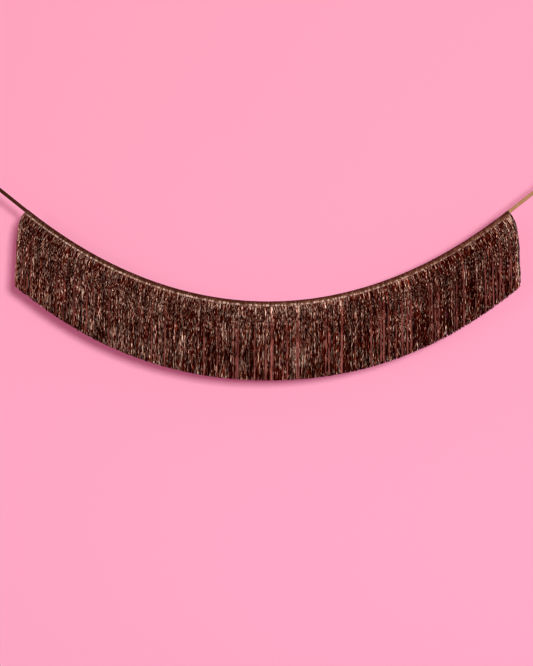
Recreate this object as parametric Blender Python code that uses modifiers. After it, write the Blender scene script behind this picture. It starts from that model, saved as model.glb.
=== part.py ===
# Slit foil fringe banner, hung in a swag from the two ends of its ribbon.
# Units are metres. +X runs along the banner, +Z is up, and -Y faces the viewer.
# The origin is where the left hanging loop bears on its nail.

import math

import bpy
from mathutils import Matrix, Vector

# Whole banner
BAND_LENGTH = 1.83
DRAPE_RADIUS = 1.149
BANNER_DROP = 0.279
SECTION_COUNT = 16
STATIONS_PER_SECTION = 4
CLEARANCE = 0.0003

# Header casing, a strip of foil folded over the ribbon and pinched at its seam
CHANNEL_HEIGHT = 0.0143
CHANNEL_THICKNESS = 0.0043
CASING_WALL = 0.0006
CROWN_HEIGHT = 0.0017
CROWN_STEPS = 3
PINCH_HEIGHT = 0.0022
HEM_HEIGHT = 0.0045
HEM_FLARE = 0.0002

# Ribbon that runs through the casing and out at both ends
RIBBON_WIDTH = 0.0127
RIBBON_THICKNESS = 0.0006
TIE_LENGTH = 0.165
TIE_POINT_SPACING = 0.03

# Overhand knot and hanging loop at each end of the ribbon
KNOT_LENGTH = 0.015
KNOT_WIDTH = 0.017
KNOT_DEPTH = 0.0125
KNOT_ROUNDING = 0.0038
KNOT_ROUNDING_SEGMENTS = 3
LOOP_LENGTH = 0.036
LOOP_RADIUS = 0.0075
LOOP_MOUTH = 0.0022
LOOP_ARC_STEPS = 5

# Slit foil, two layers that spread apart downwards
FOIL_THICKNESS = 0.00045
LAYER_GAP = 0.00035
HEADING_HEIGHT = 0.005
SECTION_GAP = 0.0006
HINGE_GAP = 0.0008
LAYER_FLARE_DEGREES = 2.0
STRANDS_PER_SECTION = 11
STRAND_WIDTH = 0.0046
RAGGED_LENGTH = 0.0024
LAYER_STAGGER_SHARE = 0.25

# How a strand leaves the band square to it and then turns to hang plumb
BEND_LENGTH = 0.037
ONE_KNEE_SHARES = (1.2,)
TWO_KNEE_SHARES = (0.6, 1.9)
STRAIGHT_SECTIONS = 2
ONE_KNEE_SECTIONS = 7
FULL_BEND_SECTIONS = 4

SECTION_LENGTH = BAND_LENGTH / SECTION_COUNT
STRAND_PITCH = SECTION_LENGTH / STRANDS_PER_SECTION
CASING_HEIGHT = CHANNEL_HEIGHT + HEM_HEIGHT
SEAM_THICKNESS = 2 * (FOIL_THICKNESS + CASING_WALL + CLEARANCE) + LAYER_GAP
RIBBON_TOP = CASING_WALL + CLEARANCE
RIBBON_MIDDLE = RIBBON_TOP + RIBBON_WIDTH / 2
LOOP_INNER_RADIUS = LOOP_RADIUS - RIBBON_THICKNESS / 2

FOIL_COLOUR = (0.115, 0.038, 0.026, 1.0)
CASING_COLOUR = (0.070, 0.026, 0.016, 1.0)
RIBBON_COLOUR = (0.085, 0.036, 0.012, 1.0)


def along_swag(distance):
    # The band's top edge is a catenary: x, z and slope at a distance from its lowest point
    x = DRAPE_RADIUS * math.asinh(distance / DRAPE_RADIUS)
    z = math.hypot(DRAPE_RADIUS, distance) - DRAPE_RADIUS
    return x, z, math.atan2(distance, DRAPE_RADIUS)


def end_offset():
    # From the swag's lowest point to where a loop bears on its nail
    x, z, slope = along_swag(BAND_LENGTH / 2)
    reach = 2 * CLEARANCE + TIE_LENGTH + KNOT_LENGTH + CLEARANCE + LOOP_LENGTH
    x += reach * math.cos(slope) + RIBBON_MIDDLE * math.sin(slope)
    z += reach * math.sin(slope) - RIBBON_MIDDLE * math.cos(slope)
    return x, z


MIDDLE_X, MIDDLE_RISE = end_offset()


def swag_point(distance, depth):
    # World x and z of a point at a depth below the band's top edge
    x, z, slope = along_swag(distance)
    return Vector((MIDDLE_X + x + depth * math.sin(slope),
                   z - MIDDLE_RISE - depth * math.cos(slope)))


def stations(start, end, steps):
    return [start + (end - start) * i / steps for i in range(steps + 1)]


def new_collection(name):
    collection = bpy.data.collections.new(name)
    bpy.context.scene.collection.children.link(collection)
    return collection


def new_material(name, colour, roughness, metallic):
    material = bpy.data.materials.new(name)
    material.use_nodes = True
    shader = material.node_tree.nodes["Principled BSDF"]
    shader.inputs["Base Color"].default_value = colour
    shader.inputs["Roughness"].default_value = roughness
    shader.inputs["Metallic"].default_value = metallic
    material.diffuse_color = colour
    return material


def flat_piece(name, outline, thickness, frame, material, collection, parent=None):
    # A flat outline in a frame's own x and y, given half its thickness to each side
    curve = bpy.data.curves.new(name, "CURVE")
    curve.dimensions = "2D"
    curve.fill_mode = "BOTH"
    curve.extrude = thickness / 2
    curve.render_resolution_u = 0
    spline = curve.splines.new("POLY")
    spline.points.add(len(outline) - 1)
    for point, (x, y) in zip(spline.points, outline):
        point.co = (x, y, 0, 1)
    spline.use_cyclic_u = True
    piece = bpy.data.objects.new(name, curve)
    piece.parent = parent
    piece.matrix_local = frame
    curve.materials.append(material)
    collection.objects.link(piece)
    return piece


def upright_frame(x, y, z, slope):
    # Local x runs along the slope, local y up square to it, local z towards the viewer
    along = Vector((math.cos(slope), 0, math.sin(slope)))
    across = Vector((-math.sin(slope), 0, math.cos(slope)))
    frame = Matrix((along, across, along.cross(across))).transposed().to_4x4()
    return Matrix.Translation((x, y, z)) @ frame


def swag_strip(top, bottom):
    # Outline of a strip that follows the swag between two depths
    steps = SECTION_COUNT * STATIONS_PER_SECTION
    places = stations(-BAND_LENGTH / 2, BAND_LENGTH / 2, steps)
    upper = [swag_point(s, top) for s in places]
    lower = [swag_point(s, bottom) for s in reversed(places)]
    return upper + lower


def make_header_casing(material, parts, guides):
    # Half of the folded wall, from the crown down the outside and back up the inside
    outer = CHANNEL_THICKNESS / 2
    seam = SEAM_THICKNESS / 2
    crown = stations(0, math.pi / 2, CROWN_STEPS)
    half = [(outer * math.sin(a), -CROWN_HEIGHT * (1 - math.cos(a))) for a in crown]
    half += [
        (outer, PINCH_HEIGHT - CHANNEL_HEIGHT),
        (seam, -CHANNEL_HEIGHT),
        (seam + HEM_FLARE, -CASING_HEIGHT),
        (seam + HEM_FLARE - CASING_WALL, -CASING_HEIGHT),
        (seam - CASING_WALL, -CHANNEL_HEIGHT),
        (outer - CASING_WALL, PINCH_HEIGHT - CHANNEL_HEIGHT),
        (outer - CASING_WALL, -CROWN_HEIGHT),
        (0, -CASING_WALL),
    ]
    profile = half + [(-x, y) for x, y in reversed(half[1:-1])]
    section = bpy.data.curves.new("casing_section", "CURVE")
    section.dimensions = "2D"
    section.fill_mode = "NONE"
    section.render_resolution_u = 0
    spline = section.splines.new("POLY")
    spline.points.add(len(profile) - 1)
    for point, (x, y) in zip(spline.points, profile):
        point.co = (x, y, 0, 1)
    spline.use_cyclic_u = True
    guide = bpy.data.objects.new("casing_section", section)
    guide.hide_render = True
    guide.display_type = "WIRE"
    guides.objects.link(guide)

    path = bpy.data.curves.new("header_casing", "CURVE")
    path.dimensions = "3D"
    path.twist_mode = "Z_UP"
    path.bevel_mode = "OBJECT"
    path.bevel_object = guide
    path.use_fill_caps = True
    path.render_resolution_u = 0
    steps = SECTION_COUNT * STATIONS_PER_SECTION
    places = stations(-BAND_LENGTH / 2, BAND_LENGTH / 2, steps)
    run = path.splines.new("POLY")
    run.points.add(len(places) - 1)
    for point, s in zip(run.points, places):
        x, z = swag_point(s, 0)
        point.co = (x, 0, z, 1)
    casing = bpy.data.objects.new("header_casing", path)
    path.materials.append(material)
    parts.objects.link(casing)
    return casing


def make_inner_ribbon(material, parts):
    outline = swag_strip(RIBBON_TOP, RIBBON_TOP + RIBBON_WIDTH)
    return flat_piece("hanging_ribbon", outline, RIBBON_THICKNESS, upright_frame(0, 0, 0, 0),
                      material, parts)


def layer_offset(side):
    # Middle of a foil layer, in front of the seam for side -1 and behind it for side 1
    return side * (LAYER_GAP + FOIL_THICKNESS) / 2


def make_heading(name, side, material, parts):
    # The uncut upper edge of a foil sheet, sewn between the walls of the hem
    outline = swag_strip(CHANNEL_HEIGHT, CASING_HEIGHT)
    return flat_piece(name, outline, FOIL_THICKNESS, upright_frame(0, layer_offset(side), 0, 0),
                      material, parts)


def tie_frame(side, reach):
    # Frame on a tie's centre line, its x pointing away from the band's end
    x, z, slope = along_swag(BAND_LENGTH / 2)
    start = swag_point(side * BAND_LENGTH / 2, RIBBON_MIDDLE)
    angle = slope if side > 0 else math.pi - slope
    return upright_frame(start.x + reach * math.cos(angle), 0,
                         start.y + reach * math.sin(angle), angle)


def make_tie(name, side, material, parts):
    steps = round(TIE_LENGTH / TIE_POINT_SPACING)
    places = stations(0, TIE_LENGTH, steps)
    half = RIBBON_WIDTH / 2
    outline = [(t, half) for t in places] + [(t, -half) for t in reversed(places)]
    return flat_piece(name, outline, RIBBON_THICKNESS, tie_frame(side, CLEARANCE), material, parts)


def make_knot(name, side, material, parts):
    bpy.ops.mesh.primitive_cube_add(size=1)
    knot = bpy.context.object
    knot.name = name
    knot.data.name = name
    knot.data.transform(Matrix.Diagonal((KNOT_LENGTH, KNOT_WIDTH, KNOT_DEPTH, 1)))
    knot.matrix_world = tie_frame(side, 2 * CLEARANCE + TIE_LENGTH + KNOT_LENGTH / 2)
    rounding = knot.modifiers.new("rounding", "BEVEL")
    rounding.width = KNOT_ROUNDING
    rounding.segments = KNOT_ROUNDING_SEGMENTS
    knot.data.materials.append(material)
    knot.data.shade_smooth()
    for holder in knot.users_collection:
        holder.objects.unlink(knot)
    parts.objects.link(knot)
    return knot


def loop_side(radius, mouth):
    # Half of a teardrop: from the mouth along its tangent to an arc about the loop's far end
    centre = LOOP_LENGTH - LOOP_INNER_RADIUS
    reach = math.hypot(centre, mouth)
    turn = math.pi - math.acos(radius / reach) - math.atan2(mouth, centre)
    # The arc's facets touch its circle, and the last one lies square to the loop's pull
    step = turn / LOOP_ARC_STEPS
    corner = radius / math.cos(step / 2)
    angles = [turn - step * (i + 0.5) for i in range(LOOP_ARC_STEPS)]
    arc = [(centre + corner * math.cos(a), corner * math.sin(a)) for a in angles]
    return [(0, mouth)] + arc


def make_loop(name, side, material, parts):
    # The ribbon turned edge-on, open at the mouth where both its ends enter the knot
    outer = loop_side(LOOP_INNER_RADIUS + RIBBON_THICKNESS, LOOP_MOUTH + RIBBON_THICKNESS)
    inner = loop_side(LOOP_INNER_RADIUS, LOOP_MOUTH)
    outline = outer + [(t, -w) for t, w in reversed(outer)]
    outline += [(t, -w) for t, w in inner] + list(reversed(inner))
    reach = 3 * CLEARANCE + TIE_LENGTH + KNOT_LENGTH
    return flat_piece(name, outline, RIBBON_WIDTH, tie_frame(side, reach), material, parts)


def strand_path(distance, index, knee_shares, bend_share):
    # Centre points of one strand with its direction, from the heading down to the cut end
    depth = CASING_HEIGHT + HINGE_GAP + HEADING_HEIGHT
    start = swag_point(distance, depth)
    slope = along_swag(distance)[2]
    lean = math.tan(slope)
    full = BANNER_DROP - depth + RAGGED_LENGTH / 2 * math.sin(index * math.e)
    steep = 1 / math.cos(slope)
    slack = BEND_LENGTH * (steep - 1 - math.log((1 + steep) / 2))
    plumb = full - slack
    reach = BEND_LENGTH * lean * (1 - math.exp(-plumb / BEND_LENGTH))
    points = [(start, slope)]
    for share in knee_shares:
        drop = share * BEND_LENGTH
        bent = BEND_LENGTH * lean * (1 - math.exp(-share))
        straight = reach * drop / plumb
        across = straight + (bent - straight) * bend_share
        tilt = math.atan(lean * math.exp(-share)) * bend_share
        points.append((start + Vector((across, -drop)), tilt))
    points.append((start + Vector((reach, -plumb)), 0))
    return points


def section_outline(first, side, section):
    # A comb of foil: the uncut heading on top, its strands below
    last = first + SECTION_LENGTH
    top = CASING_HEIGHT + HINGE_GAP
    bottom = top + HEADING_HEIGHT
    upper = [swag_point(s, top)
             for s in stations(first + SECTION_GAP / 2, last - SECTION_GAP / 2,
                               STATIONS_PER_SECTION)]
    outline = upper + [swag_point(last - SECTION_GAP / 2, bottom)]
    rank = abs(section - (SECTION_COUNT - 1) / 2)
    if rank < STRAIGHT_SECTIONS:
        knee_shares = ()
    elif rank < ONE_KNEE_SECTIONS:
        knee_shares = ONE_KNEE_SHARES
    else:
        knee_shares = TWO_KNEE_SHARES
    for j in reversed(range(STRANDS_PER_SECTION)):
        distance = first + (j + 0.5 + side * LAYER_STAGGER_SHARE) * STRAND_PITCH
        bend_share = (abs(distance) / SECTION_LENGTH - STRAIGHT_SECTIONS) / (
            FULL_BEND_SECTIONS - STRAIGHT_SECTIONS)
        bend_share = min(1, max(0, bend_share))
        index = section * STRANDS_PER_SECTION + j + side / 3
        path = strand_path(distance, index, knee_shares, bend_share)
        half = STRAND_WIDTH / 2
        right = [p + half * Vector((math.cos(a), math.sin(a))) for p, a in path]
        left = [p - half * Vector((math.cos(a), math.sin(a))) for p, a in path]
        outline += right + list(reversed(left))
    outline.append(swag_point(first + SECTION_GAP / 2, bottom))
    return outline


def make_section(section, materials, parts):
    # Two combs on one hinge line, the chord of their stretch of the seam
    first = -BAND_LENGTH / 2 + section * SECTION_LENGTH
    depth = CASING_HEIGHT + HINGE_GAP / 2
    start = swag_point(first, depth)
    end = swag_point(first + SECTION_LENGTH, depth)
    low = swag_point(first + SECTION_LENGTH / 2, depth)
    middle = ((start + end) / 2 + low) / 2
    slope = math.atan2(end.y - start.y, end.x - start.x)
    number = f"{section + 1:02d}"
    hinge = bpy.data.objects.new("fringe_hinge_" + number, None)
    hinge.empty_display_size = SECTION_LENGTH / 2
    frame = upright_frame(middle.x, 0, middle.y, slope)
    hinge.matrix_world = frame
    parts.objects.link(hinge)
    along = Vector((math.cos(slope), math.sin(slope)))
    across = Vector((-math.sin(slope), math.cos(slope)))
    for name, side in (("front_fringe_", -1), ("back_fringe_", 1)):
        outline = [((p - middle).dot(along), (p - middle).dot(across))
                   for p in section_outline(first, side, section)]
        place = Matrix.Translation((0, 0, -layer_offset(side)))
        tilt = Matrix.Rotation(math.radians(side * LAYER_FLARE_DEGREES), 4, "X")
        flat_piece(name + number, outline, FOIL_THICKNESS, place @ tilt, materials[side],
                   parts, hinge)
    print("fringe hinge", number, [round(v, 5) for v in hinge.matrix_world.translation],
          "slope", round(math.degrees(slope), 3))


def main():
    for old in list(bpy.data.objects):
        bpy.data.objects.remove(old, do_unlink=True)
    parts = new_collection("fringe_banner")
    guides = new_collection("fringe_banner_guides")

    casing_foil = new_material("casing_foil", CASING_COLOUR, 0.34, 0.5)
    ribbon_satin = new_material("ribbon_satin", RIBBON_COLOUR, 0.42, 0.1)
    front_foil = new_material("front_foil", FOIL_COLOUR, 0.26, 0.8)
    back_foil = new_material("back_foil", FOIL_COLOUR, 0.3, 0.8)

    make_header_casing(casing_foil, parts, guides)
    make_inner_ribbon(ribbon_satin, parts)
    make_heading("front_heading", -1, front_foil, parts)
    make_heading("back_heading", 1, back_foil, parts)
    for word, side in (("left", -1), ("right", 1)):
        make_tie(word + "_tie", side, ribbon_satin, parts)
        make_knot(word + "_knot", side, ribbon_satin, parts)
        make_loop(word + "_loop", side, ribbon_satin, parts)
    for section in range(SECTION_COUNT):
        make_section(section, {-1: front_foil, 1: back_foil}, parts)
    bpy.context.view_layer.update()


main()
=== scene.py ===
import math
import random

import bpy
import numpy as np
from mathutils import Matrix, Vector


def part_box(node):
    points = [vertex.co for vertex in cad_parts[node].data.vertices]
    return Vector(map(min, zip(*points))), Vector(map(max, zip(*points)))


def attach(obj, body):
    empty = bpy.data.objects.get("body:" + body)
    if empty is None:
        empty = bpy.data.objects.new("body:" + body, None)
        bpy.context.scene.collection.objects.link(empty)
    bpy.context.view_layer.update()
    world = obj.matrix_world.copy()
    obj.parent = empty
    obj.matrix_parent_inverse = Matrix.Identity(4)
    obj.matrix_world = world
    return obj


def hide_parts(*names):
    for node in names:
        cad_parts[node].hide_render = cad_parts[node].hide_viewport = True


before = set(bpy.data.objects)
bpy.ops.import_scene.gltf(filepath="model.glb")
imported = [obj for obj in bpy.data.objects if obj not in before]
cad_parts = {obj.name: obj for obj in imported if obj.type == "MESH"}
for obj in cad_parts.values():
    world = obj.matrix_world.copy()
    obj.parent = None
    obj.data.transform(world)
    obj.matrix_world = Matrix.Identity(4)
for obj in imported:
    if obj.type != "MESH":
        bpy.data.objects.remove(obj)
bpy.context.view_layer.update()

# Lengths are in metres. Band pieces are modelled flat on the bench, x along the band and z zero
# at its top edge, and are then hung on the swag.
swag = {
    "bandLength": 1.83,
    "drapeRadius": 1.149,
    "channelHeight": 0.0143,
    "casingHeight": 0.0188,
    "bannerDrop": 0.279,
    "sections": 16,
}
casingLow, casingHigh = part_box("header_casing")
swagMiddleX = (casingLow.x + casingHigh.x) / 2
swagMiddleZ = casingLow.z + swag["casingHeight"]
sectionLength = swag["bandLength"] / swag["sections"]


def alongSwag(distance):
    # the band's top edge is a catenary
    radius = swag["drapeRadius"]
    return (swagMiddleX + radius * np.arcsinh(distance / radius),
            swagMiddleZ + np.hypot(radius, distance) - radius,
            np.arctan2(distance, radius))


def swagPoint(distance, depth):
    x, z, slope = alongSwag(distance)
    return Vector((float(x + depth * np.sin(slope)), 0, float(z - depth * np.cos(slope))))


# camera, square to the wall and framed as the photograph is

photo = {
    "wide": 533, "high": 666,
    "bandPixels": 524.1,  # length of the band along its curve
    "lowestX": 267.4, "lowestY": 301.35,  # the lowest point of the band's top edge
    "distance": 6.0,
    "roll": -0.0022,  # radians; the right end hangs a little lower
}


def setCamera():
    metresPerPixel = swag["bandLength"] / photo["bandPixels"]
    data = bpy.data.cameras.new("camera")
    data.lens = data.sensor_width * photo["distance"] / (photo["high"] * metresPerPixel)
    data.clip_end = 60
    camera = bpy.data.objects.new("camera", data)
    bpy.context.scene.collection.objects.link(camera)
    camera.location = (swagMiddleX + (photo["wide"] / 2 - photo["lowestX"]) * metresPerPixel,
                       -photo["distance"],
                       swagMiddleZ - (photo["high"] / 2 - photo["lowestY"]) * metresPerPixel)
    camera.rotation_euler = (math.radians(90), photo["roll"], 0)
    bpy.context.scene.camera = camera


# modelling helpers

def deselectAll():
    if bpy.context.object and bpy.context.object.mode != "OBJECT":
        bpy.ops.object.mode_set(mode="OBJECT")
    bpy.ops.object.select_all(action="DESELECT")


def pick(piece):
    deselectAll()
    piece.select_set(True)
    bpy.context.view_layer.objects.active = piece


def applyModifiers(piece):
    pick(piece)
    for modifier in list(piece.modifiers):
        bpy.ops.object.modifier_apply(modifier=modifier.name)


def joinAll(pieces, name):
    deselectAll()
    for piece in pieces:
        piece.select_set(True)
    bpy.context.view_layer.objects.active = pieces[0]
    bpy.ops.object.join()
    pieces[0].name = name
    pieces[0].data.name = name
    return pieces[0]


def facesOut(piece):
    pick(piece)
    bpy.ops.object.mode_set(mode="EDIT")
    bpy.ops.mesh.select_all(action="SELECT")
    bpy.ops.mesh.normals_make_consistent(inside=False)
    bpy.ops.object.mode_set(mode="OBJECT")


def cutLongEdges(piece, axis, length, cuts):
    # subdivides the edges that run the whole way along one axis
    pick(piece)
    bpy.ops.object.mode_set(mode="EDIT")
    bpy.ops.mesh.select_mode(type="EDGE")
    bpy.ops.mesh.select_all(action="DESELECT")
    bpy.ops.object.mode_set(mode="OBJECT")
    for edge in piece.data.edges:
        a, b = (piece.data.vertices[i].co for i in edge.vertices)
        edge.select = abs(a[axis] - b[axis]) > length * 0.9
    bpy.ops.object.mode_set(mode="EDIT")
    bpy.ops.mesh.subdivide(number_cuts=cuts)
    bpy.ops.object.mode_set(mode="OBJECT")


def pointsOf(piece):
    points = np.zeros(len(piece.data.vertices) * 3)
    piece.data.vertices.foreach_get("co", points)
    return points.reshape(-1, 3)


def setPoints(piece, points):
    piece.data.vertices.foreach_set("co", np.asarray(points, np.float32).ravel())
    piece.data.update()


def setTone(piece, tone):
    # a shade for each point: one value for all of them, or an array
    shades = piece.data.attributes.get("tone") or piece.data.attributes.new(
        "tone", "FLOAT", "POINT")
    shades.data.foreach_set("value", np.zeros(len(shades.data), np.float32) + tone)


def setMap(piece, name, across, down):
    # a map of the piece as it lies on the bench, one pair of numbers for each point
    while piece.data.uv_layers:
        piece.data.uv_layers.remove(piece.data.uv_layers[0])
    layer = piece.data.uv_layers.new(name=name)
    corners = np.zeros(len(piece.data.loops), np.int32)
    piece.data.loops.foreach_get("vertex_index", corners)
    places = np.stack([across, down], axis=1)[corners]
    layer.data.foreach_set("uv", places.astype(np.float32).ravel())


def copyShaped(piece, points, tone):
    copy = piece.copy()
    copy.data = piece.data.copy()
    bpy.context.scene.collection.objects.link(copy)
    setPoints(copy, points)
    setTone(copy, tone)
    return copy


def hangOnSwag(piece):
    points = pointsOf(piece)
    x, z, slope = alongSwag(points[:, 0])
    setPoints(piece, np.stack([x - points[:, 2] * np.sin(slope), points[:, 1],
                               z + points[:, 2] * np.cos(slope)], axis=1))


def dress(piece, finish, slot, body, *nodes):
    piece.data.materials.clear()
    piece.data.materials.append(finish)
    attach(piece, body)
    if nodes:
        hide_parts(*nodes)


# materials

class Signal:
    # one value inside a material, so that its maths reads as maths
    def __init__(self, finish, socket):
        self.finish, self.socket = finish, socket

    def combine(self, operation, first, second=0.0):
        return self.finish.node("ShaderNodeMath", {"operation": operation},
                                {0: first, 1: second})

    def __add__(self, other):
        return self.combine("ADD", self, other)

    def __sub__(self, other):
        return self.combine("SUBTRACT", self, other)

    def __rsub__(self, other):
        return self.combine("SUBTRACT", other, self)

    def __mul__(self, other):
        return self.combine("MULTIPLY", self, other)

    __radd__, __rmul__ = __add__, __mul__

    def wave(self):
        return self.combine("SINE", self)

    def size(self):
        return self.combine("ABSOLUTE", self)


class Finish:
    def __init__(self, name, **constants):
        self.material = bpy.data.materials.new(name)
        self.material.use_nodes = True
        self.tree = self.material.node_tree
        self.shader = self.tree.nodes["Principled BSDF"]
        self.set(**constants)

    def node(self, kind, settings=None, feeds=None, output=0):
        made = self.tree.nodes.new(kind)
        for key, value in (settings or {}).items():
            if key == "stops":
                while len(made.color_ramp.elements) < len(value):
                    made.color_ramp.elements.new(0.5)
                for stop, (place, colour) in zip(made.color_ramp.elements, value):
                    stop.position, stop.color = place, (*colour, 1)
            else:
                setattr(made, key, value)
        for key, value in (feeds or {}).items():
            self.feed(made.inputs[key], value)
        return Signal(self, made.outputs[output])

    def feed(self, socket, value):
        if isinstance(value, Signal):
            self.tree.links.new(value.socket, socket)
        else:
            socket.default_value = value

    def set(self, **feeds):
        for socket, value in feeds.items():
            self.feed(self.shader.inputs[socket.replace("_", " ")], value)

    def attribute(self, name):
        return self.node("ShaderNodeAttribute", {"attribute_name": name}, output="Fac")

    def mapAxes(self, name):
        place = self.node("ShaderNodeUVMap", {"uv_map": name})
        return self.axes(place)

    def objectAxes(self):
        return self.axes(self.node("ShaderNodeTexCoord", output="Object"))

    def axes(self, place):
        split = self.tree.nodes.new("ShaderNodeSeparateXYZ")
        self.feed(split.inputs[0], place)
        return [Signal(self, socket) for socket in split.outputs]

    def noise(self, x, y, z=0.0, detail=2.0, roughness=0.5):
        place = self.node("ShaderNodeCombineXYZ", feeds={0: x, 1: y, 2: z})
        return self.node("ShaderNodeTexNoise", {"noise_dimensions": "3D"},
                         {"Vector": place, "Scale": 1.0, "Detail": detail,
                          "Roughness": roughness})

    def ramp(self, value, *stops):
        return self.node("ShaderNodeValToRGB", {"stops": stops}, {0: value})

    def mask(self, value, low, high):
        return self.node("ShaderNodeMapRange", {"interpolation_type": "SMOOTHSTEP"},
                         {"Value": value, "From Min": low, "From Max": high})

    def mix(self, share, first, second):
        return self.node("ShaderNodeMix", {"data_type": "RGBA"},
                         {0: share, 6: first, 7: second}, output=2)

    def bump(self, height, strength, distance):
        self.set(Normal=self.node("ShaderNodeBump", feeds={"Height": height,
                                                           "Strength": strength,
                                                           "Distance": distance}))


# foil strands

strands = {
    "perSection": 43,  # in each ply
    "plies": 3,
    "width": (0.0021, 0.0034),
    "straight": 0.957,  # strands with a tone above this stayed flat and straight
    "straightWidth": (0.0036, 0.0056),
    "ridge": 0.00022,  # height of the crease along a strand's middle
    "steps": 20,
    "spacing": 0.35,  # how far a strand may stray from even spacing, in strand pitches
    "lean": (0.92, 1.06),  # slope at the root, as a share of the band's
    "bend": 0.031,  # how soon a strand turns from the band's slant to hang plumb
    "bendSkew": 0.08,
    "splay": (0.034, 0.020),  # slope of the end strands' outward lean, left and right
    "rootDepth": 0.0005,
    "flareDegrees": 2.0,  # the front and back sheets spread apart downwards
    "flareShare": (0.05, 1.0), "straightFlare": 0.7,
    "settle": 0.125,  # share of the length over which sway and twist begin
    "turns": (2, 6),  # waves down a strand
    "twist": (0.15, 1.0),  # radians
    "twistRoot": 0.3, "twistSteady": 0.7, "twistVaried": 0.5, "straightTwist": 0.35,
    "crinkle": 0.42,
    "sway": 0.0009, "swayShare": (0.3, 1.0),
    "wander": 0.0010,
    "drift": 0.0040,
    "ragged": 0.0050, "raggedPower": 2.5,
    "raggedRight": 2.0,  # what is added to that right of the middle
    "raggedFrom": 0.1, "raggedOver": 1 / 3,  # shares of the half band
    "shortMiddle": 0.0028,  # the cut is a little short in the middle and long in the flanks
    "longFlanks": 0.0091, "flankPower": 1.5,
    "tuck": 0.0007,  # how far the strands reach up into the hem
    "seed": 11,
}

foil = {
    "contrast": 4.4,  # of the painted shade and glints on a crease's dark and bright sides
    "straightContrast": -3.8,  # what the straight strands add to that
    "toneSpread": 0.88,  # between one strand and the next
    "patches": 1.2, "glintClusters": 0.5,
    "middle": 0.323,  # where an even strand lies among the shades
    "straightPaintedReflection": (0.228, 0.066, 0.056, 1),
    # painted light and shade, from a strand in shade to a painted glint
    "shades": (
        (0.00, (0.008, 0.0001, 0.0000)), (0.16, (0.015, 0.0002, 0.0000)),
        (0.34, (0.025, 0.0006, 0.0000)), (0.52, (0.046, 0.0042, 0.0009)),
        (0.70, (0.087, 0.0140, 0.0050)), (0.86, (0.159, 0.045, 0.025)),
        (0.94, (0.252, 0.116, 0.076)), (1.00, (0.374, 0.248, 0.198)),
    ),
}


def foilFinish():
    finish = Finish("fringe_foil", Metallic=0.5, Specular_IOR_Level=0.02,
                    Specular_Tint=(0.55, 0.36, 0.30, 1))
    tone = finish.attribute("tone")
    across, down, _ = finish.mapAxes("strand")
    x, y, z = finish.objectAxes()
    offMiddle = x - float(swagMiddleX)
    top = 1 - finish.mask(down, 0.02, 0.30)
    aside = finish.mask(offMiddle.size(), 0.15, 0.42)
    leftSide = 1 - finish.mask(offMiddle, -0.60, -0.25)
    rightSide = finish.mask(offMiddle, 0.25, 0.60)

    # creases are longest low down, and where the slanting band pulls the strands taut
    density = 20.5 + aside * 5.0 - down * 6.0 - top * (4.0 + aside * 10.0)
    # the creases paint glints and shade into the colour and also bump the foil; the clusters paint
    # larger patches of glints and shade
    creases = finish.noise(across * 1.7 + tone * 57.0, down * density, tone * 91.0, detail=1.0)
    patches = finish.noise(tone * 31.0, down * 4.0, 7.0, detail=1.0)
    glintClusters = finish.noise(x * 9.0, y * 9.0, z * 12.0, detail=1.0)
    straight = finish.mask(tone, strands["straight"] - 0.005, strands["straight"]) \
        * finish.mask(down, 0.08, 0.45)
    contrast = foil["contrast"] + straight * foil["straightContrast"] \
        + top * (1 - aside) * 1.6 + aside * 0.35 + leftSide * 0.55 + rightSide * 0.50
    toneSpread = foil["toneSpread"] - aside * 0.28 - leftSide * 0.30
    uneven = (creases - 0.5) * contrast + (tone - 0.5) * toneSpread \
        + (patches - 0.5) * foil["patches"] + (glintClusters - 0.5) * foil["glintClusters"]

    # painted highlights: the roots at the right end, the outermost strands and the flanks' roots
    # catch the light
    paintedEndSheen = finish.mask(offMiddle, 0.79, 0.84) * (1 - finish.mask(down, 0.18, 0.36))
    paintedRimLight = finish.mask(offMiddle, 0.862, 0.872) * 0.52 \
        + finish.mask(offMiddle, -0.856, -0.868) * 0.22
    paintedUnderHemLight = aside * (1 - finish.mask(down, 0.01, 0.055)) \
        * (1 - finish.mask(offMiddle, 0.45, 0.75))
    paintedLight = paintedEndSheen * 0.36 + paintedRimLight + paintedUnderHemLight * 0.12

    # painted shade: the right flank hangs turned from the light, a strand between its neighbours is
    # in their shade, and the roots under the band and the right side are darker
    paintedFlankShade = finish.mask(offMiddle, 0.42, 0.52) * (finish.mask(down, 0.30, 0.60) + 0.7)
    inner = finish.mask(down * 0.0045 - y.size(), 0.0, 0.0015)
    paintedShade = paintedFlankShade * 0.07 + inner * 0.22 + top * (aside * 0.06 + 0.035) \
        + finish.mask(offMiddle, 0.05, 0.40) * 0.05 + leftSide * 0.004 + rightSide * 0.045

    # painted glints and shade, from the sum of all the above
    paintedGlintsAndShade = finish.ramp(uneven + paintedLight - paintedShade + foil["middle"], *foil["shades"])
    # painted reflection: the flat, straight strands are given the pink of the wall they mirror
    flat = straight * (finish.mask(patches, 0.38, 0.56) * 0.55 + 0.42) \
        * (1 - aside * 0.35) * (1 - leftSide * 0.35)
    finish.set(Base_Color=finish.mix(flat, paintedGlintsAndShade, foil["straightPaintedReflection"]),
               Roughness=creases * 0.5 + straight * 0.25 + 0.10)
    finish.bump(creases, 0.5, 0.0008)
    return finish.material


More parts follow.
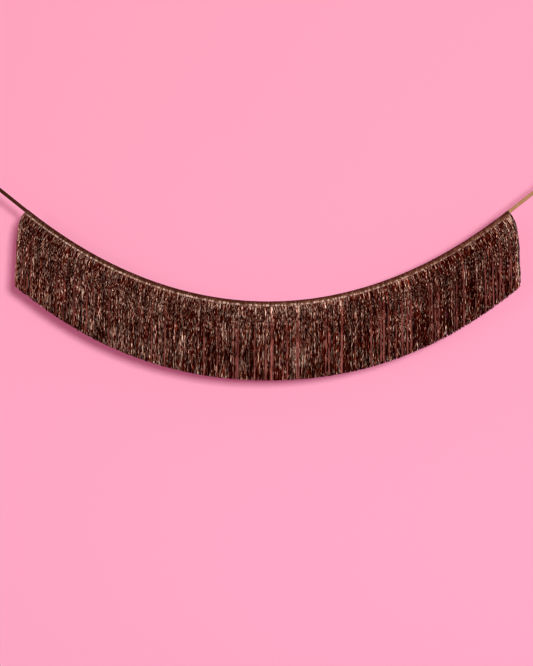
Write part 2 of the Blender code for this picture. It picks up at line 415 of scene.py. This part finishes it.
def modelStrand():
    # a narrow strip a unit wide, a unit long and a unit thick, with one crease down its back
    deselectAll()
    bpy.ops.mesh.primitive_cylinder_add(vertices=3, radius=0.5, depth=1, end_fill_type="NGON")
    strip = bpy.context.object
    bpy.ops.object.mode_set(mode="EDIT")
    bpy.ops.mesh.select_all(action="SELECT")
    base, rise = 0.866, 0.75  # of a triangle in a circle a unit across
    bpy.ops.transform.translate(value=(0, 1 - rise, -0.5))
    bpy.ops.transform.resize(value=(1 / base, 1 / rise, 1), center_override=(0, 0, 0))
    bpy.ops.object.mode_set(mode="OBJECT")
    cutLongEdges(strip, 2, 1, strands["steps"] - 1)
    points = pointsOf(strip)
    setMap(strip, "strand", points[:, 0] + 0.5, -points[:, 2])
    pick(strip)
    bpy.ops.object.shade_smooth_by_angle(angle=math.radians(50))
    return strip


def hangStrand(shape, distance, side, tone, rng):
    # the unit strip, put on the path that this strand hangs in
    start = swag["casingHeight"] - strands["tuck"]
    x, z, slope = alongSwag(distance)
    x, z = x + start * math.sin(slope), z - start * math.cos(slope)
    share = distance / (swag["bandLength"] / 2)
    bend = strands["bend"] * (1 + strands["bendSkew"] * share)
    lean = math.tan(slope) * rng.uniform(*strands["lean"])
    steep = 1 / math.cos(slope)
    slack = bend * (steep - 1 - math.log((1 + steep) / 2))
    uneven = np.clip((share - strands["raggedFrom"]) / strands["raggedOver"], 0, 1)
    ragged = strands["ragged"] * (1 + uneven * strands["raggedRight"])
    flank = math.sin(math.pi * abs(share) ** strands["flankPower"])
    length = swag["bannerDrop"] - start - slack - ragged * rng.random() ** strands["raggedPower"] \
        - strands["shortMiddle"] + strands["longFlanks"] * flank
    down = -shape[:, 2]
    drop = down * length
    splay = strands["splay"][int(share > 0)] * share ** 3
    pathX = x + bend * lean * (1 - np.exp(-drop / bend)) + splay * drop
    angle = np.arctan(lean * np.exp(-drop / bend) + splay)

    # slow twist and sway, and a crinkle that changes from one step to the next
    steps = strands["steps"]
    step = np.rint(down * steps).astype(int)
    crinkle = np.array([rng.uniform(-1, 1) for _ in range(steps + 1)])[step]
    wander = np.array([rng.uniform(-1, 1) for _ in range(steps + 1)])[step]
    settle = np.minimum(1, down / strands["settle"])
    turns, phase = rng.uniform(*strands["turns"]), rng.uniform(0, 2 * math.pi)
    drift = rng.uniform(-1, 1) * strands["drift"] * down
    pathX = pathX + settle * (drift + strands["wander"] * wander)
    flatter = tone > strands["straight"]
    flare = rng.uniform(*strands["flareShare"])
    if flatter:
        flare = strands["straightFlare"] + (1 - strands["straightFlare"]) * flare
    flare *= math.tan(math.radians(strands["flareDegrees"]))
    sway = strands["sway"] * rng.uniform(*strands["swayShare"]) \
        * np.sin(turns * 2 * math.pi * down + phase)
    pathY = side * (strands["rootDepth"] + flare * drop) + settle * sway
    twist = rng.choice((-1, 1)) * rng.uniform(*strands["twist"])
    varied = strands["twistSteady"] + strands["twistVaried"] * np.sin(turns * 3 * down + phase)
    twist = np.minimum(1, strands["twistRoot"] + down / strands["settle"]) \
        * (twist * varied + strands["crinkle"] * crinkle)
    if flatter:
        twist = twist * strands["straightTwist"]
    wide = shape[:, 0] * rng.uniform(*strands["straightWidth" if flatter else "width"])
    thick = rng.choice((-1, 1)) * shape[:, 1] * strands["ridge"]
    flat = wide * np.cos(twist) - thick * np.sin(twist)
    deep = wide * np.sin(twist) + thick * np.cos(twist)
    return np.stack([pathX + flat * np.cos(angle), pathY + deep,
                     z - drop + flat * np.sin(angle)], axis=1)


def makeFringe(finish):
    strip = modelStrand()
    shape = pointsOf(strip)
    for section in range(swag["sections"]):
        first = -swag["bandLength"] / 2 + section * sectionLength
        number = f"{section + 1:02d}"
        for word, side in (("front", -1), ("back", 1)):
            rng = random.Random(strands["seed"] + 100 * section + side)
            copies = []
            for ply in range(strands["plies"]):
                for i in range(strands["perSection"]):
                    place = i + 0.5 + strands["spacing"] * rng.uniform(-1, 1)
                    share = place / strands["perSection"]
                    tone = rng.random()
                    points = hangStrand(shape, first + share * sectionLength, side, tone, rng)
                    copies.append(copyShaped(strip, points, tone))
            layer = joinAll(copies, f"{word}_strands_{number}")
            facesOut(layer)
            dress(layer, finish, "fringe_foil", "fringe_section_" + number,
                  f"{word}_fringe_{number}")
    bpy.data.objects.remove(strip)
    print("fringe:", swag["sections"], "sections,", 2 * strands["plies"] * strands["perSection"],
          "strands in each")


# header casing

band = {
    "stations": 900,
    "thickness": 0.0043,
    "crown": 0.0030,  # height of the rounded top edge
    "wall": 0.0006,
    "seamHalf": 0.00155,  # from the middle plane to the hem's outside
    "hemFlare": 0.00035,
    "pinch": 0.0022,  # height over which the channel narrows to the seam
    "puckerPitch": 0.0061,
    "puckerDepth": 0.00030,
    "puckerHeight": 0.0035,  # above and below the pinch
    "puckerWander": 1.7, "wanderTurns": 31.0,  # the puckers aren't evenly spaced
}


def casingFinish():
    finish = Finish("casing_foil", Metallic=0.35, Specular_IOR_Level=0.03)
    along, height, _ = finish.mapAxes("bench")
    streaks = finish.noise(along * 24.0, height * 800.0, 0.0, detail=3.0, roughness=0.6)
    creases = finish.noise(along * 210.0, height * 260.0, 2.0)
    pulls = finish.noise(along * 170.0, height * 50.0, 5.0)
    gathers = finish.noise(along * 150.0, height * 42.0, 9.0, detail=1.0)
    # towards the ends the painted shading and the hem's colour lie a little lower on the band
    lower = finish.mask(along.size(), 0.0, 0.85) * 0.11 - 0.03
    depth = height * (-1 / swag["casingHeight"]) - lower
    # painted light and shade down the band: dark at the top edge, lighter below and palest at the
    # hem, which faces up into the light
    shade = depth + (streaks - 0.5) * 0.40
    face = finish.ramp(shade, (0.12, (0.038, 0.0058, 0.0018)), (0.46, (0.050, 0.0110, 0.0042)),
                       (0.55, (0.085, 0.027, 0.015)), (0.64, (0.125, 0.048, 0.031)),
                       (0.77, (0.270, 0.142, 0.108)), (0.90, (0.190, 0.085, 0.062)),
                       (0.99, (0.080, 0.026, 0.016)))
    # painted shade and glints where the gathered foil creases
    face = finish.mix(finish.mask(gathers, 0.52, 0.30) * 0.75, face, (0.022, 0.004, 0.001, 1))
    face = finish.mix(finish.mask(gathers, 0.50, 0.74) * 0.55, face, (0.150, 0.065, 0.045, 1))
    # the hem is gathered by its thread: painted glints where bits of it catch the light, and
    # painted shade in its dimples
    hem = finish.mask(depth, 0.56, 0.68) * (1 - finish.mask(depth, 0.84, 0.98) * 0.7)
    glints = finish.mask(pulls, 0.50, 0.58) * hem
    paintedDimpleShade = finish.mask(pulls, 0.47, 0.40) * hem
    # painted shade: the hem turns from the light towards the ends, most of all at the right
    paintedTurnShade = finish.mask(along, 0.05, 0.50) * 0.8 + finish.mask(along, 0.50, 0.75) * 0.4 \
        + finish.mask(along, -0.60, -0.85) * 0.35
    face = finish.mix(paintedTurnShade * hem * 0.85, face, (0.060, 0.018, 0.010, 1))
    face = finish.mix(paintedDimpleShade * 0.75, face, (0.045, 0.012, 0.006, 1))
    face = finish.mix(glints * (0.8 - paintedTurnShade * 0.47), face, (0.620, 0.430, 0.350, 1))
    finish.set(Base_Color=face, Roughness=streaks * 0.3 + 0.32)
    finish.bump(streaks * 0.5 + creases * 0.5 + gathers * 1.5, 0.5, 0.0005)
    return finish.material


def casingProfile():
    # one side of the fold, from the crown down the outside and back up the inside
    half = band["thickness"] / 2
    seam = band["seamHalf"]
    wall = band["wall"]
    top = -swag["channelHeight"]
    bottom = -swag["casingHeight"]
    outside = [(half * math.sin(a), -band["crown"] * (1 - math.cos(a)))
               for a in np.linspace(0, math.pi / 2, 6)]
    outside += [(half, top * 0.55), (half * 0.97, top + band["pinch"]),
                (half * 0.80, top + band["pinch"] * 0.35), (seam, top),
                (seam, top * 1.12), (seam + band["hemFlare"], bottom)]
    inside = [(seam + band["hemFlare"] - wall, bottom), (seam - wall, top * 1.12),
              (seam - wall, top), (half - wall, top + band["pinch"]), (half - wall, -band["crown"]),
              ((half - wall) * 0.6, -wall * 2.2), (0, -wall)]
    return outside + inside


def modelBand(finish):
    # the folded casing as a straight prism, cut into short lengths and puckered, then hung
    profile = casingProfile()
    ring = profile + [(-y, z) for y, z in reversed(profile[1:-1])]
    deselectAll()
    bpy.ops.mesh.primitive_circle_add(vertices=len(ring), radius=1, fill_type="NGON")
    casing = bpy.context.object
    casing.name = "casing_band"
    for vertex, (y, z) in zip(casing.data.vertices, ring):
        vertex.co = (-swag["bandLength"] / 2, y, z)
    bpy.ops.object.mode_set(mode="EDIT")
    bpy.ops.mesh.select_all(action="SELECT")
    bpy.ops.mesh.extrude_region_move(
        TRANSFORM_OT_translate={"value": (swag["bandLength"], 0, 0)})
    bpy.ops.object.mode_set(mode="OBJECT")
    cutLongEdges(casing, 0, swag["bandLength"], band["stations"] - 1)
    facesOut(casing)
    # the thread draws the hem into puckers
    points = pointsOf(casing)
    setMap(casing, "bench", points[:, 0], points[:, 2])
    x, y, z = points.T
    near = np.exp(-((z + swag["channelHeight"]) / band["puckerHeight"]) ** 2)
    pull = np.sin(x * 2 * math.pi / band["puckerPitch"]
                  + band["puckerWander"] * np.sin(x * band["wanderTurns"]))
    outer = np.abs(y) > band["seamHalf"] - band["wall"] * 0.5
    points[:, 1] = y + np.sign(y) * band["puckerDepth"] * near * (pull + 0.5) * outer
    setPoints(casing, points)
    hangOnSwag(casing)
    pick(casing)
    bpy.ops.object.shade_smooth_by_angle(angle=math.radians(48))
    dress(casing, finish, "casing_foil", "header", "header_casing")
    print("casing:", len(casing.data.polygons), "faces")


# sewing thread along the hem

thread = {
    "pitch": 0.0036,
    "stitch": 0.0030,
    "radius": 0.00030,
    "slant": 0.0007,
    "taper": 0.55,  # of a stitch towards its ends
    "dip": 1.6,  # of its ends into the hem, in thread radii
    "depth": 0.0156,  # below the band's top edge
    "lift": 0.00172,  # out from the band's middle plane
}


def threadFinish():
    finish = Finish("seam_thread", Sheen_Weight=0.2)
    x, y, z = finish.objectAxes()
    fuzz = finish.noise(x * 900.0, y * 900.0, z * 900.0)
    finish.set(Base_Color=finish.ramp(fuzz, (0.25, (0.38, 0.21, 0.16)), (0.75, (0.62, 0.40, 0.32))),
               Roughness=fuzz * 0.2 + 0.5)
    finish.bump(fuzz, 0.3, 0.0002)
    return finish.material


def modelStitch():
    # a short length of thread whose ends dip into the hem
    deselectAll()
    bpy.ops.mesh.primitive_cylinder_add(vertices=6, radius=thread["radius"], depth=thread["stitch"],
                                        rotation=(0, math.radians(90), 0))
    stitch = bpy.context.object
    bpy.ops.object.transform_apply(location=False, rotation=True, scale=False)
    cutLongEdges(stitch, 0, thread["stitch"], 3)
    points = pointsOf(stitch)
    share = 2 * points[:, 0] / thread["stitch"]
    points[:, 1:] *= (1 - thread["taper"] * share ** 4)[:, None]
    points[:, 1] += thread["radius"] * thread["dip"] * share ** 4
    points[:, 2] += thread["slant"] / 2 * share
    setPoints(stitch, points)
    pick(stitch)
    bpy.ops.object.shade_smooth()
    return stitch


def sewHem(finish):
    stitch = modelStitch()
    shape = pointsOf(stitch)
    count = int(swag["bandLength"] / thread["pitch"])
    for word, side in (("front", 1), ("back", -1)):
        copies = []
        for i in range(count):
            points = shape * (1, side, 1)
            points[:, 0] += (i + 0.5) * thread["pitch"] - count * thread["pitch"] / 2
            points[:, 1] -= side * thread["lift"]
            points[:, 2] -= thread["depth"]
            copies.append(copyShaped(stitch, points, 0.0))
        seam = joinAll(copies, word + "_seam_thread")
        hangOnSwag(seam)
        facesOut(seam)
        dress(seam, finish, "ribbon_satin", "header")
    bpy.data.objects.remove(stitch)
    print("seam:", count, "stitches on each side")


# satin ribbon: ties, knots and hanging loops

ribbon = {
    "width": 0.0127,
    "thickness": 0.0006,
    "clearance": 0.0003,
    "top": 0.0009,  # below the band's top edge
    "tieLength": 0.165,
    "routeStep": 0.03,
    "knotLength": 0.015, "knotWidth": 0.017, "knotDepth": 0.0125,
    "loopLength": 0.036, "loopRadius": 0.0072, "loopMouth": 0.0022,
    "knotCore": 0.42,  # the core's half width and depth, as shares of the knot's
    "wraps": (
        # shift along the knot, tilt, width, half thickness
        (-0.0016, 0.30, 0.0068, 0.0019),
        (0.0018, -0.26, 0.0060, 0.0016),
    ),
    "turn": {"left": 0.16, "right": 0.62},  # radians
    "turnStart": 0.010, "turnFade": 0.06, "turnKept": 0.45,
    "cup": 0.0008,
    "gather": 0.020,  # length over which the ribbon narrows into the knot
    "narrowing": 0.45, "pleat": 0.0010,
    "loopGather": 0.012, "loopNarrowing": 0.40, "loopPleat": 0.0006,
    "pleatTurns": 4 * math.pi,
    "tuck": 0.003,  # what goes into the knot
}


def ribbonFinish():
    # its face is dark satin and its reverse duller and paler; that pale colour is partly a painted
    # sheen, for the right tie that shows it
    finish = Finish("ribbon_satin", Specular_IOR_Level=0.05)
    along, across, _ = finish.mapAxes("bench")
    reverseAndSheen = finish.attribute("tone")
    sheen = finish.noise(along * 45.0, across * 60.0, 0.0, detail=1.0)
    yarns = finish.noise(along * 60.0, across * 3600.0, 3.0)
    edge = finish.mask(across.size(), ribbon["width"] * 0.20, ribbon["width"] * 0.44)
    selvedge = finish.mask(across.size(), ribbon["width"] * 0.435, ribbon["width"] * 0.455)
    shade = sheen * 0.5 + yarns * 0.3 + 0.1 - edge * 0.25 - selvedge * 0.12
    face = finish.ramp(shade, (0.10, (0.030, 0.0036, 0.0001)), (0.50, (0.052, 0.0085, 0.0004)),
                       (0.80, (0.086, 0.0240, 0.0040)))
    back = finish.ramp(shade, (0.10, (0.370, 0.175, 0.072)), (0.50, (0.440, 0.235, 0.105)),
                       (0.80, (0.510, 0.305, 0.150)))
    weave = (along * 9000.0).wave() * 0.3 + (across * 14000.0).wave() * 0.5 + selvedge * 1.5
    finish.set(Base_Color=finish.mix(reverseAndSheen, face, back), Roughness=yarns * 0.2 + 0.30)
    finish.bump(weave, 0.12, 0.0001)
    return finish.material


def tieFrame(side, reach):
    # on a tie's centre line, x away from the band's end, y up square to it, z to the viewer
    slope = alongSwag(swag["bandLength"] / 2)[2]
    start = swagPoint(side * swag["bandLength"] / 2, ribbon["top"] + ribbon["width"] / 2)
    angle = slope if side > 0 else math.pi - slope
    along = Vector((math.cos(angle), 0, math.sin(angle)))
    across = Vector((-math.sin(angle), 0, math.cos(angle)))
    place = Matrix((along, across, along.cross(across))).transposed().to_4x4()
    return Matrix.Translation(start + along * reach) @ place


def eased(share):
    # from 0 to 1 with a soft start and a soft end
    share = np.clip(share, 0, 1)
    return share * share * (3 - 2 * share)


def putInPlace(piece, place):
    turn = np.array(place.to_3x3())
    setPoints(piece, pointsOf(piece) @ turn.T + np.array(place.translation))


def modelTie(word, side, finish):
    deselectAll()
    bpy.ops.mesh.primitive_grid_add(x_subdivisions=110, y_subdivisions=10, size=1)
    tie = bpy.context.object
    tie.name = word + "_ribbon_tie"
    bpy.ops.object.mode_set(mode="EDIT")
    bpy.ops.mesh.select_all(action="SELECT")
    length = ribbon["tieLength"] + ribbon["tuck"]
    bpy.ops.transform.translate(value=(0.5, 0, 0))
    bpy.ops.transform.resize(value=(length, ribbon["width"], 1), center_override=(0, 0, 0))
    bpy.ops.object.mode_set(mode="OBJECT")
    wall = tie.modifiers.new("thickness", "SOLIDIFY")
    wall.thickness = ribbon["thickness"] * 0.7
    wall.offset = 0
    applyModifiers(tie)
    points = pointsOf(tie)
    setMap(tie, "bench", points[:, 0], points[:, 1])
    # the left tie shows its face and the right one its reverse, whose pale colour partly paints a
    # sheen
    behind = (points[:, 2] < 0).astype(float)
    setTone(tie, behind if side < 0 else 1 - behind)
    x, y, z = points.T
    gather = eased((x - ribbon["tieLength"] + ribbon["gather"]) / ribbon["gather"])
    cup = ribbon["cup"] * (0.5 - 4 * (y / ribbon["width"]) ** 2) \
        * np.sin(np.clip(x / ribbon["tieLength"], 0, 1) * math.pi)
    pleat = ribbon["pleat"] * gather * np.cos(y / ribbon["width"] * ribbon["pleatTurns"])
    y = y * (1 - ribbon["narrowing"] * gather)
    z = z + cup + pleat
    kept = ribbon["turnKept"] + (1 - ribbon["turnKept"]) * np.exp(-x / ribbon["turnFade"])
    turn = ribbon["turn"][word] * (1 - np.exp(-x / ribbon["turnStart"])) * (1 - gather) * kept
    setPoints(tie, np.stack([x, y * np.cos(turn) - z * np.sin(turn),
                             y * np.sin(turn) + z * np.cos(turn)], axis=1))
    putInPlace(tie, tieFrame(side, ribbon["clearance"]))
    facesOut(tie)
    bpy.ops.object.shade_smooth_by_angle(angle=math.radians(40))
    dress(tie, finish, "ribbon_satin", "header", word + "_tie")
    return tie


def loopLine():
    # a teardrop: out from the knot, round the nail and back
    centre = ribbon["loopLength"] - ribbon["loopRadius"]
    mouth = ribbon["loopMouth"]
    reach = math.hypot(centre, mouth)
    turn = math.pi - math.acos(ribbon["loopRadius"] / reach) - math.atan2(mouth, centre)
    arc = [(centre + ribbon["loopRadius"] * math.cos(a), ribbon["loopRadius"] * math.sin(a))
           for a in np.linspace(turn, -turn, 33)]
    first, last = np.array((0, mouth)), np.array((0, -mouth))
    out = [first + (arc[0] - first) * t for t in np.linspace(0, 1, 13)[:-1]]
    back = [arc[-1] + (last - arc[-1]) * t for t in np.linspace(0, 1, 13)[1:]]
    tuck = ribbon["tuck"]
    return np.array([(-tuck, mouth * 0.6)] + out + arc + back + [(-tuck, -mouth * 0.6)])


def modelLoop(word, side, finish):
    line = loopLine()
    deselectAll()
    bpy.ops.mesh.primitive_grid_add(x_subdivisions=len(line) - 1, y_subdivisions=8, size=1)
    loop = bpy.context.object
    loop.name = word + "_ribbon_loop"
    points = pointsOf(loop)
    station = np.rint((points[:, 0] + 0.5) * (len(line) - 1)).astype(int)
    run = np.concatenate([[0], np.cumsum(np.linalg.norm(np.diff(line, axis=0), axis=1))])[station]
    across = points[:, 1] * ribbon["width"]
    setMap(loop, "bench", run, across)
    near = eased(1 - np.minimum(run, run.max() - run) / ribbon["loopGather"])
    pleat = ribbon["loopPleat"] * near * np.cos(points[:, 1] * ribbon["pleatTurns"])
    setPoints(loop, np.stack([line[station, 0], line[station, 1] + pleat,
                              across * (1 - ribbon["loopNarrowing"] * near)], axis=1))
    wall = loop.modifiers.new("thickness", "SOLIDIFY")
    wall.thickness = ribbon["thickness"] * 0.8
    wall.offset = -1
    applyModifiers(loop)
    facesOut(loop)
    # inside the loop the ribbon shows its reverse
    points = pointsOf(loop)
    normals = np.zeros(len(points) * 3)
    loop.data.vertices.foreach_get("normal", normals)
    centre = np.array((ribbon["loopLength"] * 0.6, 0, 0))
    inward = ((centre - points) * normals.reshape(-1, 3) * (1, 1, 0)).sum(axis=1) > 0
    setTone(loop, inward.astype(float))
    putInPlace(loop, tieFrame(side, 3 * ribbon["clearance"] + ribbon["tieLength"]
                              + ribbon["knotLength"]))
    facesOut(loop)
    bpy.ops.object.shade_smooth_by_angle(angle=math.radians(40))
    dress(loop, finish, "ribbon_satin", "header", word + "_loop")
    return loop


def modelWrap(shift, tilt, wide, bulk, tone):
    # one turn of gathered ribbon round the knot
    deselectAll()
    girth = 0.15  # of the ring that is shaped below
    bpy.ops.mesh.primitive_torus_add(major_segments=56, minor_segments=20, major_radius=1,
                                     minor_radius=girth, rotation=(0, math.radians(90), 0))
    wrap = bpy.context.object
    bpy.ops.object.transform_apply(location=False, rotation=True, scale=False)
    points = pointsOf(wrap)
    around = np.arctan2(points[:, 2], points[:, 1])
    ring = np.stack([np.zeros(len(points)), np.cos(around), np.sin(around)], axis=1)
    out = np.linalg.norm(points[:, 1:], axis=1) - 1
    share = points[:, 0] / girth
    fold = 1 + 0.10 * np.cos(share * 8 + 1.3 * np.sin(around * 2 + tilt * 4)) * (1 - share ** 4)
    middle = ring * np.array((0, ribbon["knotWidth"] / 2 - bulk, ribbon["knotDepth"] / 2 - bulk))
    shaped = middle + ring * (out / girth * bulk * fold)[:, None]
    shaped[:, 0] = share * wide / 2 * (1 - 0.30 * np.cos(around) ** 2)
    shaped[:, 0] += shift + shaped[:, 1] * tilt
    setMap(wrap, "bench", around * ribbon["knotWidth"] / 2, share * ribbon["width"] / 2)
    setPoints(wrap, shaped)
    setTone(wrap, tone)
    return wrap


def modelKnot(word, side, finish):
    # an overhand knot: a pleated core with two slanting turns over it
    deselectAll()
    bpy.ops.mesh.primitive_uv_sphere_add(segments=64, ring_count=36, radius=1,
                                         rotation=(0, math.radians(90), 0))
    core = bpy.context.object
    bpy.ops.object.transform_apply(location=False, rotation=True, scale=False)
    points = pointsOf(core)
    around = np.arctan2(points[:, 2], points[:, 1])
    girth = np.sqrt(np.clip(1 - np.abs(points[:, 0]) ** 3.5, 0, 1))
    pleat = 1 + 0.05 * np.cos(around * 7 + points[:, 0] * 2)
    setMap(core, "bench", points[:, 0] * ribbon["knotLength"] / 2,
           around * ribbon["width"] / (2 * math.pi))
    ring = np.maximum(np.linalg.norm(points[:, 1:], axis=1), 1e-6)
    shaped = points * (ribbon["knotLength"] / 2, 0, 0)
    girth = girth * pleat * ribbon["knotCore"]
    shaped[:, 1] = points[:, 1] / ring * girth * ribbon["knotWidth"]
    shaped[:, 2] = points[:, 2] / ring * girth * ribbon["knotDepth"]
    setPoints(core, shaped)
    setTone(core, 0.0)
    # the turn next to the tie shows the side that the tie does
    first = modelWrap(*ribbon["wraps"][0], tone=0.0 if side < 0 else 1.0)
    second = modelWrap(*ribbon["wraps"][1], tone=0.0)
    knot = joinAll([core, first, second], word + "_ribbon_knot")
    putInPlace(knot, tieFrame(side, 2 * ribbon["clearance"] + ribbon["tieLength"]
                              + ribbon["knotLength"] / 2))
    facesOut(knot)
    bpy.ops.object.shade_smooth()
    dress(knot, finish, "ribbon_satin", "header", word + "_knot")
    return knot


def tieEnds(finish):
    for word, side in (("left", -1), ("right", 1)):
        tie = modelTie(word, side, finish)
        knot = modelKnot(word, side, finish)
        loop = modelLoop(word, side, finish)
        place = tieFrame(side, ribbon["clearance"])
    print("ribbon: two ties, two knots, two loops")


# the CAD nodes that stay: what shows of them at the casing's ends and along its hem

def dressInnerPieces():
    heading = Finish("heading_foil", Metallic=0.5)
    x, y, z = heading.objectAxes()
    creases = heading.noise(x * 420.0, y * 420.0, z * 160.0)
    heading.set(Base_Color=heading.ramp(creases, (0.3, (0.035, 0.009, 0.005)),
                                        (0.7, (0.220, 0.095, 0.070))),
                Roughness=creases * 0.4 + 0.15)
    inner = Finish("inner_satin")
    x, y, z = inner.objectAxes()
    slub = inner.noise(x * 60.0, y * 900.0, z * 900.0, detail=3.0)
    inner.set(Base_Color=inner.ramp(slub, (0.3, (0.045, 0.010, 0.002)),
                                    (0.7, (0.090, 0.034, 0.008))),
              Roughness=slub * 0.2 + 0.35)
    for name, finish in (("front_heading", heading), ("back_heading", heading),
                         ("hanging_ribbon", inner)):
        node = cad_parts[name]
        node.data.materials.clear()
        node.data.materials.append(finish.material)


# stage: a pale pink wall and floor, seen from their front only, and soft lamps

stage = {
    "upper": (0.80, 0.372, 0.490),
    "lower": (0.80, 0.402, 0.545),
    "fade": (-1.7, 0.6),  # heights between which the wall's colour changes
    "glow": (0.20, 0.0, 0.045),  # seen by the camera and in reflections; it warms the shadows
    "wallGap": 0.160,
    "floorDrop": 1.75,
    "width": 12.0,
    "height": 6.5,
    "reach": 3.5,
    "corner": 0.5,
    "aimDrop": 0.12,  # the lamps point this far below the band's lowest point
    "lamps": (
        # name, place from the banner's middle, size, watts, colour
        ("key", (2.35, -11.0, 1.12), 2.0, 1055, (1.0, 0.98, 0.95)),
        ("fill", (-0.3, -11.0, 0.10), 1.6, 45, (1.0, 0.97, 0.95)),
        ("left", (-3.9, -9.0, 0.40), 2.4, 70, (1.0, 0.98, 0.95)),
        ("behind", (0.6, 4.5, 0.9), 3.0, 160, (1.0, 0.97, 0.95)),
    ),
    "world": 0.18,
    "worldLight": (1.0, 0.90, 0.92, 1),
    "worldSeen": (0.96, 0.86, 0.89, 1),
}


def stageFinish():
    finish = Finish("stage", Roughness=1.0, Specular_IOR_Level=0.0)
    height = finish.objectAxes()[2]
    finish.set(Base_Color=finish.ramp(finish.mask(height, *stage["fade"]),
                                      (0.0, stage["lower"]), (1.0, stage["upper"])))
    seen = finish.node("ShaderNodeLightPath", output="Is Camera Ray")
    mirrored = finish.node("ShaderNodeLightPath", output="Is Glossy Ray")
    finish.set(Emission_Color=finish.mix(seen.combine("MAXIMUM", seen, mirrored), (0, 0, 0, 1),
                                         (*stage["glow"], 1)),
               Emission_Strength=1.0)
    # the wall is clear from behind and throws no light back, and the lamp behind it shines through
    back = finish.node("ShaderNodeNewGeometry", output="Backfacing")
    shadowRay = finish.node("ShaderNodeLightPath", output="Is Shadow Ray")
    bounced = finish.node("ShaderNodeLightPath", output="Is Diffuse Ray")
    clear = finish.node("ShaderNodeBsdfTransparent")
    hidden = back.combine("MAXIMUM", back, back.combine("MAXIMUM", shadowRay, bounced))
    both = finish.node("ShaderNodeMixShader",
                       feeds={0: hidden, 1: Signal(finish, finish.shader.outputs[0]), 2: clear})
    finish.feed(finish.tree.nodes["Material Output"].inputs["Surface"], both)
    return finish.material


def buildSweep(middle):
    # the floor is pulled up at its far side into a wall, and the corner is rounded
    floor = casingLow.z - swag["bannerDrop"] - stage["floorDrop"]
    deselectAll()
    bpy.ops.mesh.primitive_plane_add(size=1)
    sweep = bpy.context.object
    sweep.name = "backdrop"
    bpy.ops.object.mode_set(mode="EDIT")
    bpy.ops.mesh.select_all(action="SELECT")
    bpy.ops.transform.resize(value=(stage["width"], stage["reach"], 1))
    bpy.ops.transform.translate(value=(middle.x, stage["wallGap"] - stage["reach"] / 2, floor))
    bpy.ops.mesh.select_mode(type="EDGE")
    bpy.ops.mesh.select_all(action="DESELECT")
    bpy.ops.object.mode_set(mode="OBJECT")
    for edge in sweep.data.edges:
        a, b = (sweep.data.vertices[i].co for i in edge.vertices)
        edge.select = min(a.y, b.y) > 0
    bpy.ops.object.mode_set(mode="EDIT")
    bpy.ops.mesh.extrude_region_move(TRANSFORM_OT_translate={"value": (0, 0, stage["height"])})
    bpy.ops.object.mode_set(mode="OBJECT")
    corner = sweep.modifiers.new("corner", "BEVEL")
    corner.width, corner.segments = stage["corner"], 16
    applyModifiers(sweep)
    bpy.ops.object.shade_smooth()
    facing = [p for p in sweep.data.polygons if abs(p.normal.z) > 0.9]
    if sum(p.normal.z for p in facing) < 0:
        bpy.ops.object.mode_set(mode="EDIT")
        bpy.ops.mesh.select_all(action="SELECT")
        bpy.ops.mesh.flip_normals()
        bpy.ops.object.mode_set(mode="OBJECT")
    sweep.data.materials.append(stageFinish())


def hangLamps(middle):
    for name, place, size, watts, colour in stage["lamps"]:
        lamp = bpy.data.lights.new(name, "AREA")
        lamp.size, lamp.energy, lamp.color = size, watts, colour
        holder = bpy.data.objects.new(name, lamp)
        holder.location = middle + Vector(place)
        aim = middle - Vector((0, 0, stage["aimDrop"])) - holder.location
        holder.rotation_euler = aim.to_track_quat("-Z", "Y").to_euler()
        bpy.context.scene.collection.objects.link(holder)


def setWorld():
    # soft light all round, and a pale ground where the camera sees past the wall
    world = bpy.data.worlds.new("studio")
    world.use_nodes = True
    bpy.context.scene.world = world
    nodes, links = world.node_tree.nodes, world.node_tree.links
    soft = nodes["Background"]
    soft.inputs[0].default_value = stage["worldLight"]
    soft.inputs[1].default_value = stage["world"]
    plain = nodes.new("ShaderNodeBackground")
    plain.inputs[0].default_value = stage["worldSeen"]
    rays = nodes.new("ShaderNodeLightPath")
    both = nodes.new("ShaderNodeMixShader")
    links.new(rays.outputs["Is Camera Ray"], both.inputs[0])
    links.new(soft.outputs[0], both.inputs[1])
    links.new(plain.outputs[0], both.inputs[2])
    links.new(both.outputs[0], nodes["World Output"].inputs["Surface"])
    bpy.context.scene.view_settings.view_transform = "Standard"


def buildStage():
    middle = swagPoint(0, 0)
    buildSweep(middle)
    hangLamps(middle)
    setWorld()
    print("stage: backdrop and", len(stage["lamps"]), "lamps")


setCamera()
tieEnds(ribbonFinish())
modelBand(casingFinish())
sewHem(threadFinish())
makeFringe(foilFinish())
dressInnerPieces()
buildStage()
